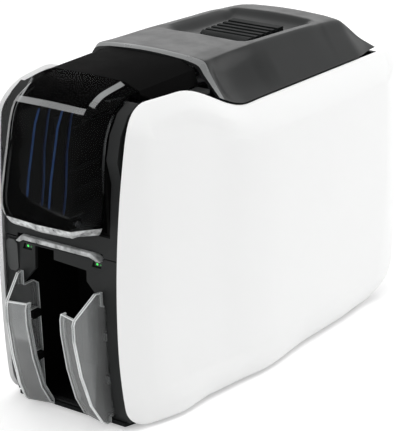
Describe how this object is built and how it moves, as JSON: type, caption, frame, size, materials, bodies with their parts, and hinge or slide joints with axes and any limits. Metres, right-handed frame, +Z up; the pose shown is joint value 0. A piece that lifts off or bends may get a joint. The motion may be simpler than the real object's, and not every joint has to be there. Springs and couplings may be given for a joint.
{
  "type": "id card printer",
  "caption": "Desktop card printer with a card hopper behind a clear door, a hinged top cover over a ribbon cartridge and print line, and clear wings at its output hopper.",
  "frame": {"origin": "centre of the bounding box at the underside of the feet", "axes": "+Z up, -Y towards the hopper door and output wings, +X to the right of someone facing them"},
  "size_m": [0.158, 0.36, 0.253],
  "materials": {
    "white_shell": "satin gloss",
    "charcoal_shell": "fine texture",
    "dark_shell": "fine texture",
    "black_satin": "satin",
    "clear_plastic": "clear moulded plastic",
    "blue_clear_plastic": "tinted clear plastic",
    "light_pipe": "clear light guide",
    "green_lens": "lens",
    "black_inner": "fine texture",
    "foot_rubber": "matte",
    "steel": "bright",
    "spring_steel": "drawn wire",
    "zinc_steel": "zinc plated",
    "roller_rubber": "ground",
    "cleaning_rubber": "tacky",
    "pinch_rubber": "ground",
    "motor_metal": "plated can",
    "brass": "machined",
    "gear_plastic": "moulded",
    "belt_rubber": "matte",
    "ribbon_case": "moulded",
    "blue_ribbon": "wound film",
    "magenta_ribbon": "wound film",
    "ribbon_film": "thin film",
    "head_metal": "anodised",
    "lift_plastic": "moulded",
    "circuit_board": "solder mask"
  },
  "bodies": {
    "printer": {"base_tray": "dark_shell", "left_side_panel": "white_shell", "right_side_panel": "white_shell", "front_bezel": "charcoal_shell", "lower_front_panel": "charcoal_shell", "rear_panel": "dark_shell", "left_frame_plate": "zinc_steel", "right_frame_plate": "zinc_steel", "rubber_feet": "foot_rubber", "housing_screws": "steel", "cover_hinge_pins": "steel", "door_hinge_pins": "steel", "card_hopper": "black_inner", "pusher_rod": "steel", "pusher_spring": "spring_steel", "light_bar": "light_pipe", "indicator_lights": "green_lens", "power_button_spring": "spring_steel", "output_bin": "black_inner", "left_output_wing": "clear_plastic", "right_output_wing": "clear_plastic", "wing_clips": "black_inner", "lower_deck": "zinc_steel", "upper_deck": "zinc_steel", "roller_bracket": "zinc_steel", "drive_motor": "motor_metal", "drive_belt": "belt_rubber", "ribbon_frame": "ribbon_case", "ribbon_film": "ribbon_film", "lift_rods": "steel", "main_board": "circuit_board", "power_inlet": "black_inner", "usb_socket": "steel"},
    "cover": {"top_cover": "charcoal_shell", "cover_hinge_arms": "charcoal_shell", "release_spring": "spring_steel", "latch_pin": "steel"},
    "release": {"release_button": "dark_shell"},
    "latch": {"cover_latch": "steel"},
    "door": {"hopper_door": "clear_plastic", "door_cap": "black_satin", "door_guides": "blue_clear_plastic", "door_lugs": "clear_plastic"},
    "power": {"power_button": "dark_shell"},
    "pusher": {"card_pusher": "black_inner"},
    "lift": {"card_lift": "lift_plastic"},
    "platen": {"platen_roller": "roller_rubber"},
    "feed": {"feed_roller": "roller_rubber"},
    "cleaning": {"cleaning_roller": "cleaning_rubber"},
    "rear_drive": {"rear_roller": "roller_rubber"},
    "front_pinch": {"front_pinch_roller": "pinch_rubber"},
    "middle_pinch": {"middle_pinch_roller": "pinch_rubber"},
    "rear_pinch": {"rear_pinch_roller": "pinch_rubber"},
    "idler": {"idler_gear": "gear_plastic"},
    "pinion": {"motor_pinion": "brass"},
    "supply": {"supply_spool": "blue_ribbon"},
    "takeup": {"takeup_spool": "magenta_ribbon"},
    "head": {"printhead": "head_metal", "printhead_arm": "zinc_steel"}
  },
  "joints": [
    {"name": "cover_hinge", "type": "hinge", "parent": "printer", "child": "cover", "pos_m": [0, 0.157, 0.2065], "axis": [-1, 0, 0], "range_deg": [0, 70]},
    {"name": "release_press", "type": "slide", "parent": "cover", "child": "release", "axis": [0, 0, -1], "range_m": [0, 0.0025], "stiffness_N_per_m": 400, "springref_m": -0.002, "deforming": ["release_spring"]},
    {"name": "latch_turn", "type": "hinge", "parent": "cover", "child": "latch", "pos_m": [0, 0, 0.228], "axis": [-1, 0, 0], "range_deg": [0, 3.5]},
    {"name": "door_hinge", "type": "hinge", "parent": "printer", "child": "door", "pos_m": [0, -0.16, 0.157], "axis": [1, 0, 0], "range_deg": [0, 60]},
    {"name": "power_press", "type": "slide", "parent": "printer", "child": "power", "axis": [0, 1, 0], "range_m": [0, 0.0015], "stiffness_N_per_m": 500, "springref_m": -0.001, "deforming": ["power_button_spring"]},
    {"name": "pusher_slide", "type": "slide", "parent": "printer", "child": "pusher", "axis": [1, 0, 0], "range_m": [0, 0.042], "stiffness_N_per_m": 40, "springref_m": -0.02, "deforming": ["pusher_spring"]},
    {"name": "lift_slide", "type": "slide", "parent": "printer", "child": "lift", "axis": [0, 0, -1], "range_m": [0, 0.081]},
    {"name": "platen_spin", "type": "hinge", "parent": "printer", "child": "platen", "pos_m": [-0.0263, 0.03, 0.13], "axis": [0, 0, 1], "continuous": true},
    {"name": "feed_spin", "type": "hinge", "parent": "printer", "child": "feed", "pos_m": [-0.0263, -0.079, 0.13], "axis": [0, 0, 1], "continuous": true},
    {"name": "cleaning_spin", "type": "hinge", "parent": "printer", "child": "cleaning", "pos_m": [-0.0263, -0.01, 0.13], "axis": [0, 0, 1], "continuous": true},
    {"name": "rear_spin", "type": "hinge", "parent": "printer", "child": "rear_drive", "pos_m": [-0.0263, 0.074, 0.13], "axis": [0, 0, 1], "continuous": true},
    {"name": "front_pinch_spin", "type": "hinge", "parent": "printer", "child": "front_pinch", "pos_m": [-0.0077, -0.079, 0.13], "axis": [0, 0, 1], "continuous": true},
    {"name": "middle_pinch_spin", "type": "hinge", "parent": "printer", "child": "middle_pinch", "pos_m": [-0.0077, -0.01, 0.13], "axis": [0, 0, 1], "continuous": true},
    {"name": "rear_pinch_spin", "type": "hinge", "parent": "printer", "child": "rear_pinch", "pos_m": [-0.0077, 0.074, 0.13], "axis": [0, 0, 1], "continuous": true},
    {"name": "idler_spin", "type": "hinge", "parent": "printer", "child": "idler", "pos_m": [0.0087, 0.03, 0.13], "axis": [0, 0, 1], "continuous": true},
    {"name": "pinion_spin", "type": "hinge", "parent": "printer", "child": "pinion", "pos_m": [0.0347, 0.03, 0.13], "axis": [0, 0, 1], "continuous": true},
    {"name": "takeup_spin", "type": "hinge", "parent": "printer", "child": "takeup", "pos_m": [0.03, 0.057, 0.13], "axis": [0, 0, 1], "continuous": true},
    {"name": "supply_spin", "type": "hinge", "parent": "printer", "child": "supply", "pos_m": [0.03, 0.004, 0.13], "axis": [0, 0, 1], "continuous": true},
    {"name": "head_lift", "type": "hinge", "parent": "printer", "child": "head", "pos_m": [0, 0.045, 0.178], "axis": [0, 0, 1], "range_deg": [0, 6], "stiffness_Nm_per_rad": 1, "springref_deg": -2.86}
  ],
  "couplings": [
    {"joint": "latch_turn", "follows": "release_press", "rad_per_m": 23.8},
    {"joint": "feed_spin", "follows": "platen_spin", "ratio": 1},
    {"joint": "cleaning_spin", "follows": "platen_spin", "ratio": 1},
    {"joint": "rear_spin", "follows": "platen_spin", "ratio": 1},
    {"joint": "front_pinch_spin", "follows": "platen_spin", "ratio": -1},
    {"joint": "middle_pinch_spin", "follows": "platen_spin", "ratio": -1},
    {"joint": "rear_pinch_spin", "follows": "platen_spin", "ratio": -1},
    {"joint": "idler_spin", "follows": "platen_spin", "ratio": -0.75},
    {"joint": "pinion_spin", "follows": "platen_spin", "ratio": 2.5},
    {"joint": "supply_spin", "follows": "takeup_spin", "ratio": 0.588}
  ]
}
